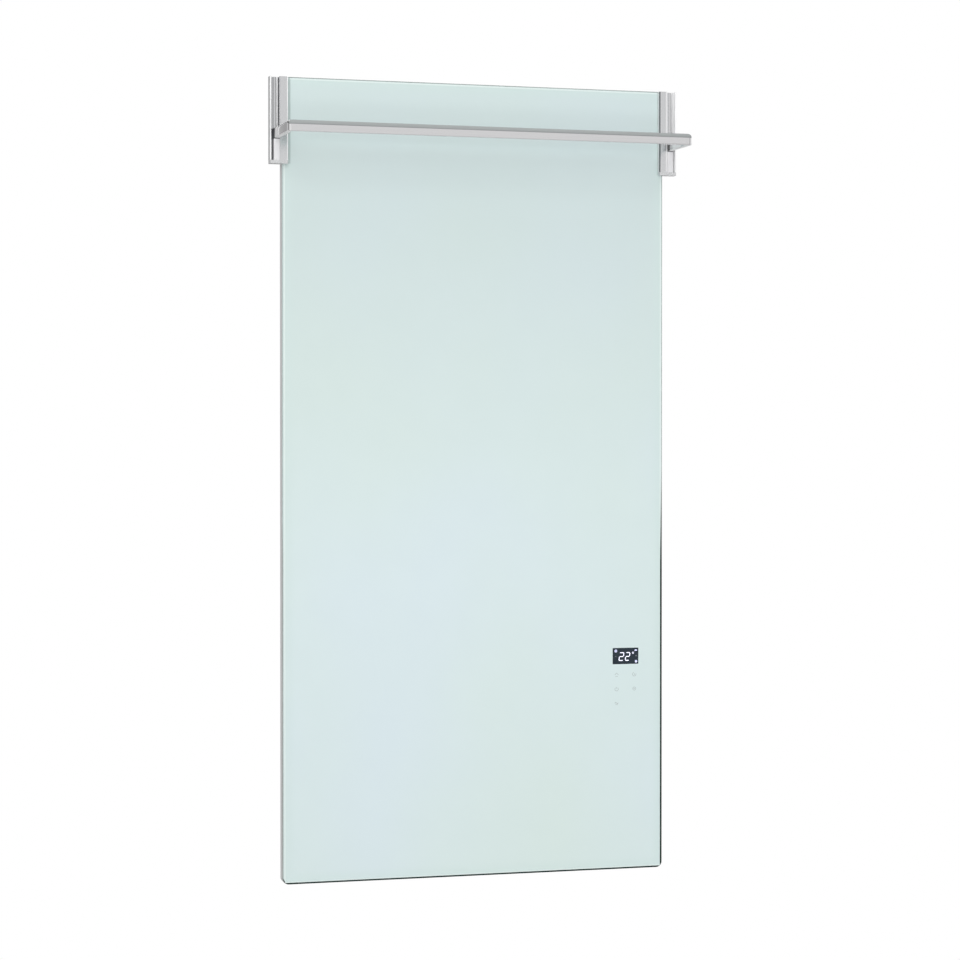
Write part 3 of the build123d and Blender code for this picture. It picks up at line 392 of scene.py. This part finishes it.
M = {
    "glass": glass_material(),
    "enamel": surface("enamel_white", (0.70, 0.80, 0.77), (0.78, 0.87, 0.84), (0.25, 0.4), (20, 20, 20), bump=0.1, bump_mm=0.02),
    "smoked_film": window_material(),
    "silicone": surface("silicone_bead", (0.55, 0.56, 0.56), (0.66, 0.67, 0.67), (0.55, 0.7), (80, 80, 80), bump=0.2),
    "film": surface("carbon_film", (0.018, 0.018, 0.020), (0.035, 0.035, 0.038), (0.45, 0.6), (300, 300, 40), bump=0.15),
    "copper": surface("copper_strip", (0.70, 0.33, 0.20), (0.86, 0.46, 0.31), (0.22, 0.38), (300, 300, 12), metallic=1.0),
    "mica": surface("mica_paper", (0.40, 0.34, 0.22), (0.58, 0.50, 0.35), (0.35, 0.6), (110, 110, 110), specks=(0.70, 0.64, 0.50)),
    "foil": surface("bright_foil", (0.80, 0.81, 0.82), (0.90, 0.905, 0.91), (0.10, 0.28), (70, 70, 70), metallic=1.0, bump=0.4, bump_scale=(90, 90, 90), bump_mm=0.3),
    "mat": mat_material(),
    "casing_paint": surface("powder_coat_white", (0.765, 0.778, 0.778), (0.790, 0.802, 0.802), (0.38, 0.50), (12, 12, 12), bump=0.25, bump_scale=(1300, 1300, 1300), bump_mm=0.03),
    "zinc_steel": surface("zinc_steel", (0.48, 0.49, 0.50), (0.66, 0.67, 0.68), (0.28, 0.45), (90, 90, 90), metallic=1.0, detail=2.0, bump=0.08),
    "rubber": surface("black_rubber", (0.018, 0.018, 0.019), (0.036, 0.036, 0.038), (0.65, 0.8), (120, 120, 120), bump=0.25),
    "screw_steel": surface("screw_steel", (0.46, 0.47, 0.48), (0.64, 0.65, 0.66), (0.20, 0.34), (400, 400, 400), metallic=1.0),
    "dark_plastic": surface("dark_moulding", (0.020, 0.020, 0.022), (0.038, 0.038, 0.041), (0.42, 0.55), (150, 150, 150), bump=0.2),
    "brass": surface("brass", (0.62, 0.44, 0.18), (0.80, 0.60, 0.28), (0.20, 0.36), (200, 200, 200), metallic=1.0),
    "white_plastic": surface("white_moulding", (0.72, 0.72, 0.70), (0.80, 0.80, 0.785), (0.40, 0.52), (60, 60, 60), bump=0.15),
    "board": board_material(),
    "relay_plastic": surface("blue_moulding", (0.020, 0.050, 0.24), (0.030, 0.080, 0.34), (0.25, 0.38), (120, 120, 120), bump=0.1),
    "terminal_plastic": surface("green_moulding", (0.030, 0.20, 0.09), (0.045, 0.27, 0.13), (0.35, 0.48), (120, 120, 120), bump=0.1),
    "fuse": surface("fuse_caps", (0.60, 0.60, 0.58), (0.76, 0.76, 0.74), (0.15, 0.30), (300, 300, 300), metallic=0.9),
    "pad_foam": surface("contact_foam", (0.05, 0.05, 0.052), (0.10, 0.10, 0.102), (0.8, 0.95), (700, 700, 700), bump=0.6, bump_mm=0.2),
    "ribbon": surface("flat_cable", (0.62, 0.62, 0.60), (0.80, 0.80, 0.78), (0.35, 0.5), (900, 40, 6)),
    "cutout": surface("cutout_can", (0.60, 0.60, 0.59), (0.74, 0.74, 0.73), (0.25, 0.4), (200, 200, 200), metallic=1.0),
    "lead_sleeve": surface("silicone_sleeve", (0.30, 0.055, 0.030), (0.42, 0.085, 0.048), (0.45, 0.6), (150, 150, 150), bump=0.1),
    "rocker_plastic": surface("rocker_moulding", (0.018, 0.018, 0.020), (0.034, 0.034, 0.036), (0.22, 0.34), (150, 150, 150), bump=0.08),
    "bracket_alu": bracket_material(),
    "strip_plastic": strip_material(),
    "cap_alu": surface("cap_bright", (0.78, 0.79, 0.80), (0.88, 0.885, 0.89), (0.20, 0.32), (160, 160, 160), metallic=0.85, bump=0.05),
    "rail_chrome": rail_material("rail_polished_x", 0),
    # the arm feet are painted dark as shade inside the bracket channels
    "foot_alu": surface("foot_painted_shade", (0.10, 0.105, 0.115), (0.17, 0.175, 0.185), (0.30, 0.45), (140, 140, 140), metallic=0.3, bump=0.1),
}
arm_mat = rail_material("rail_polished_y", 1)

slots = {s["node"]: s["material_slot"] for s in frame["record"]["subparts"]}
for name, obj in nodes.items():
    mat = arm_mat if name in ("left_arm", "right_arm") else M[slots[name]]
    if not obj.material_slots:
        obj.data.materials.append(mat)
    for s in obj.material_slots:
        s.material = mat


# ---------------------------------------------------------------- thin marks on the glass
Y_GLASS = -0.031


def new_piece(name, bm, mat, body="panel"):
    me = bpy.data.meshes.new(name)
    bmesh.ops.recalc_face_normals(bm, faces=bm.faces)
    bm.to_mesh(me)
    bm.free()
    ob = bpy.data.objects.new(name, me)
    scene.collection.objects.link(ob)
    ob.data.materials.append(mat)
    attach(ob, body)
    return ob


def plate(bm, outline, y_back, y_front):
    """Closed flat prism from an outline of (x, z) points in metres."""
    back = [bm.verts.new((x, y_back, z)) for x, z in outline]
    front = [bm.verts.new((x, y_front, z)) for x, z in outline]
    n = len(outline)
    bm.faces.new(back)
    bm.faces.new(list(reversed(front)))
    for i in range(n):
        j = (i + 1) % n
        bm.faces.new((back[i], front[i], front[j], back[j]))


def round_rect(cx, cz, w, h, r, seg=6):
    pts = []
    for sx, sz, a0 in ((1, 1, 0), (-1, 1, 90), (-1, -1, 180), (1, -1, 270)):
        for k in range(seg + 1):
            a = math.radians(a0 + 90 * k / seg)
            pts.append((cx + sx * (w / 2 - r) + r * math.cos(a), cz + sz * (h / 2 - r) + r * math.sin(a)))
    return pts


def ellipse(cx, cz, rx, rz, n=28):
    return [(cx + rx * math.cos(2 * math.pi * k / n), cz + rz * math.sin(2 * math.pi * k / n)) for k in range(n)]


def arc(cx, cz, r, a0, a1, n=18):
    return [(cx + r * math.cos(math.radians(a0 + (a1 - a0) * k / n)), cz + r * math.sin(math.radians(a0 + (a1 - a0) * k / n))) for k in range(n + 1)]


def stroke(bm, pts, w, y_back, y_front, closed=False):
    """Line of even width through (x, z) points, mitred at its corners."""
    n = len(pts)
    left, right = [], []
    for i in range(n):
        a = Vector(pts[i - 1]) if (i > 0 or closed) else None
        p = Vector(pts[i])
        b = Vector(pts[(i + 1) % n]) if (i < n - 1 or closed) else None
        d1 = (p - a).normalized() if a is not None else (b - p).normalized()
        d2 = (b - p).normalized() if b is not None else d1
        n1, n2 = Vector((-d1.y, d1.x)), Vector((-d2.y, d2.x))
        m = (n1 + n2).normalized()
        k = (w / 2) / max(0.4, m.dot(n1))
        left.append(p + m * k)
        right.append(p - m * k)
    if closed:
        lb, lf = [bm.verts.new((v.x, y_back, v.y)) for v in left], [bm.verts.new((v.x, y_front, v.y)) for v in left]
        rb, rf = [bm.verts.new((v.x, y_back, v.y)) for v in right], [bm.verts.new((v.x, y_front, v.y)) for v in right]
        for i in range(n):
            j = (i + 1) % n
            bm.faces.new((lf[i], lf[j], rf[j], rf[i]))
            bm.faces.new((lb[i], rb[i], rb[j], lb[j]))
            bm.faces.new((lf[i], lb[i], lb[j], lf[j]))
            bm.faces.new((rf[i], rf[j], rb[j], rb[i]))
    else:
        plate(bm, [(v.x, v.y) for v in left] + [(v.x, v.y) for v in reversed(right)], y_back, y_front)


# display pane
DX, DZ = 0.2405, -0.2712
bm = bmesh.new()
plate(bm, round_rect(DX - 0.0004, DZ, 0.0421, 0.0250, 0.0007), Y_GLASS + 0.00001, Y_GLASS - 0.00006)
new_piece("display_pane", bm, M["smoked_film"])
YB, YF = Y_GLASS - 0.00006, Y_GLASS - 0.00012


def mm(x, z):
    return (DX + x * 0.001, DZ + z * 0.001)


def seven_two(bm, x0, z0, w, h, t, slant):
    """Slanted seven-segment two."""
    def q(x, z):
        return mm(x0 + x + slant * z, z0 + z)

    g = 0.22
    def bar(z):
        return [q(t * 0.5 + g, z), q(t + g * 0.6, z + t / 2), q(w - t - g * 0.6, z + t / 2), q(w - t * 0.5 - g, z), q(w - t - g * 0.6, z - t / 2), q(t + g * 0.6, z - t / 2)]

    def post(x, za, zb):
        return [q(x, za + g), q(x + t / 2, za + t / 2 + g), q(x + t / 2, zb - t / 2 - g), q(x, zb - g), q(x - t / 2, zb - t / 2 - g), q(x - t / 2, za + t / 2 + g)]

    for z in (t / 2, h / 2, h - t / 2):
        plate(bm, bar(z), YB, YF)
    plate(bm, post(w - t / 2, h / 2, h - t / 2), YB, YF)
    plate(bm, post(t / 2, t / 2, h / 2), YB, YF)


bm = bmesh.new()
for x0, w0 in ((-11.9, 8.0), (-1.6, 7.5)):
    seven_two(bm, x0, -7.5, w0, 13.3, 1.30, 0.13)
stroke(bm, [mm(*p) for p in arc(11.9, 4.7, 1.15, 0, 342, 17)], 0.00072, YB, YF, closed=True)
new_piece("display_digits", bm, lit_material("segment_white", (0.84, 0.84, 1.0), 0.68))

bm = bmesh.new()
stroke(bm, [mm(*p) for p in arc(-16.3, 7.9, 1.75, 0, 345, 23)], 0.00085, YB, YF, closed=True)
plate(bm, [mm(*p) for p in ellipse(-16.3, 7.9, 0.85, 0.85, 16)], YB, YF)
plate(bm, [mm(*p) for p in arc(16.4, 7.7, 2.2, 0, 180, 14)], YB, YF)
plate(bm, [mm(*p) for p in ellipse(16.8, -8.6, 1.9, 1.9, 22)], YB, YF)
new_piece("display_icons", bm, lit_material("segment_soft", (0.66, 0.68, 0.95), 0.38))

bm = bmesh.new()
plate(bm, [mm(*p) for p in ellipse(16.9, 0.1, 1.2, 1.2, 16)], YB, YF)
stroke(bm, [mm(*p) for p in ((-17.6, -1.6), (-16.4, 0.0), (-15.2, -1.6))], 0.00055, YB, YF)
new_piece("display_idle", bm, surface("segment_idle", (0.105, 0.12, 0.14), (0.15, 0.165, 0.19), (0.4, 0.5), (400, 400, 400)))

# printed key marks
KX, KZ = (0.2256, 0.2545), (-0.2997, -0.3222, -0.3437)
bm = bmesh.new()
yb, yf, w = Y_GLASS + 0.00001, Y_GLASS - 0.00004, 0.00062


def at(cx, cz, pts):
    return [(cx + x * 0.00115, cz + z * 0.00115) for x, z in pts]


stroke(bm, at(KX[0], KZ[0], [(-2.6, -0.6), (0, 2.2), (2.6, -0.6)]), w, yb, yf)
stroke(bm, at(KX[0], KZ[0], [(-1.7, -2.4), (1.7, -2.4)]), w, yb, yf)
stroke(bm, at(KX[1], KZ[0], arc(0, 0, 2.5, 100, 390, 20)), w, yb, yf)
stroke(bm, at(KX[1], KZ[0], [(0, 1.3), (0, -0.1), (1.1, -0.9)]), w, yb, yf)
stroke(bm, at(KX[0], KZ[1], arc(0, 0, 2.4, 125, 415, 20)), w, yb, yf)
stroke(bm, at(KX[0], KZ[1], [(0, 0.4), (0, 2.9)]), w, yb, yf)
stroke(bm, at(KX[1], KZ[1], arc(0, 0.2, 2.1, 0, 345, 23)), w, yb, yf, closed=True)
stroke(bm, at(KX[1], KZ[1], [(-1.0, 0.2), (1.0, 0.2)]), w, yb, yf)
stroke(bm, at(KX[0], KZ[2], [(-2.4, -0.3), (-1.2, 0.9), (0, 0.0), (1.2, -0.9), (2.4, 0.3)]), w * 1.3, yb, yf)
stroke(bm, at(KX[0], KZ[2], [(-1.6, -2.0), (1.6, -2.0)]), w, yb, yf)
new_piece("key_marks", bm, surface("key_print", (0.31, 0.37, 0.37), (0.39, 0.46, 0.46), (0.4, 0.5), (600, 600, 600)))

# ---------------------------------------------------------------- floor and light
bm = bmesh.new()
bmesh.ops.create_circle(bm, cap_ends=True, radius=1.42, segments=96)
me = bpy.data.meshes.new("floor")
bm.to_mesh(me)
bm.free()
floor = bpy.data.objects.new("floor", me)
floor.location = (0, 0, -1.10)
scene.collection.objects.link(floor)
ft = Tree("floor_pale")
ff = ft.noise((1.2, 1.2, 1.2), 2.0)
ft.link(ft.ramp(ff, [(0.3, (0.74, 0.74, 0.74)), (0.7, (0.78, 0.78, 0.78))]), ft.bsdf.inputs["Base Color"])
ft.set(Roughness=0.8)
floor.data.materials.append(ft.mat)

world = bpy.data.worlds.new("studio")
scene.world = world
world.use_nodes = True
wn, wl = world.node_tree.nodes, world.node_tree.links
for n in list(wn):
    wn.remove(n)
w_out = wn.new("ShaderNodeOutputWorld")
bg_seen, bg_light = wn.new("ShaderNodeBackground"), wn.new("ShaderNodeBackground")
bg_seen.inputs[0].default_value = (1, 1, 1, 1)
bg_seen.inputs[1].default_value = 1.0
lp = wn.new("ShaderNodeLightPath")
wmix = wn.new("ShaderNodeMixShader")
wl.new(lp.outputs["Is Camera Ray"], wmix.inputs[0])
wl.new(bg_light.outputs[0], wmix.inputs[1])
wl.new(bg_seen.outputs[0], wmix.inputs[2])
wl.new(wmix.outputs[0], w_out.inputs[0])
tc = wn.new("ShaderNodeTexCoord")
sp = wn.new("ShaderNodeSeparateXYZ")
wl.new(tc.outputs["Generated"], sp.inputs[0])


def wmath(op, a, b):
    m = wn.new("ShaderNodeMath")
    m.operation = op
    for i, v in enumerate((a, b)):
        if isinstance(v, (int, float)):
            m.inputs[i].default_value = v
        else:
            wl.new(v, m.inputs[i])
    return m.outputs[0]


def wramp(fac, stops):
    r = wn.new("ShaderNodeValToRGB")
    r.color_ramp.interpolation = "LINEAR"
    els = r.color_ramp.elements
    while len(els) > 1:
        els.remove(els[-1])
    els[0].position, els[0].color = stops[0][0], (*[stops[0][1]] * 3, 1)
    for p, v in stops[1:]:
        e = els.new(p)
        e.color = (*[v] * 3, 1)
    wl.new(fac, r.inputs[0])
    return r.outputs[0]


# azimuth 0 is in front of the panel, +90 on its right
azim = wmath("ARCTAN2", sp.outputs[0], wmath("MULTIPLY", sp.outputs[1], -1.0))
azim01 = wmath("ADD", wmath("DIVIDE", azim, 2 * math.pi), 0.5)


def az(deg):
    return deg / 360.0 + 0.5


ring = wramp(azim01, [(0.0, 0.46), (az(-150), 0.50), (az(-136), 1.05), (az(-116), 1.05), (az(-104), 0.42), (az(-68), 0.42), (az(-54), 0.95),
                      (az(0), 0.78), (az(34), 0.76), (az(48), 0.34), (az(60), 0.34), (az(74), 1.12), (az(145), 1.12), (az(168), 0.46), (1.0, 0.46)])
up = wramp(wmath("MULTIPLY_ADD", sp.outputs[2], 0.5), [(0.0, 0.60), (0.45, 0.80), (0.53, 0.98), (0.63, 0.98), (0.67, 0.20), (0.77, 0.20), (0.85, 0.88), (1.0, 0.88)])
for n in wn:
    if n.type == "MATH" and n.operation == "MULTIPLY_ADD":
        n.inputs[2].default_value = 0.5
light_mix = wn.new("ShaderNodeMix")
light_mix.data_type = "RGBA"
light_mix.blend_type = "MULTIPLY"
light_mix.inputs[0].default_value = 1.0
wl.new(ring, light_mix.inputs[6])
wl.new(up, light_mix.inputs[7])
wl.new(light_mix.outputs[2], bg_light.inputs[0])
bg_light.inputs[1].default_value = 1.0


def area(name, loc, target, size, power, colour=(1, 1, 1)):
    d = bpy.data.lights.new(name, "AREA")
    d.shape = "RECTANGLE"
    d.size, d.size_y = size
    d.energy = power
    d.color = colour
    o = bpy.data.objects.new(name, d)
    o.location = loc
    o.rotation_euler = (Vector(target) - Vector(loc)).to_track_quat("-Z", "Y").to_euler()
    o.visible_glossy = False
    scene.collection.objects.link(o)
    return o


area("key", (-1.2, -2.8, 1.9), (0, 0, 0.0), (2.2, 1.6), 38)
area("fill", (0.7, -3.6, -0.3), (0, 0, -0.1), (2.0, 2.0), 38)
area("overhead", (0.0, -0.4, 2.6), (0, 0, -1.0), (3.0, 3.0), 20)
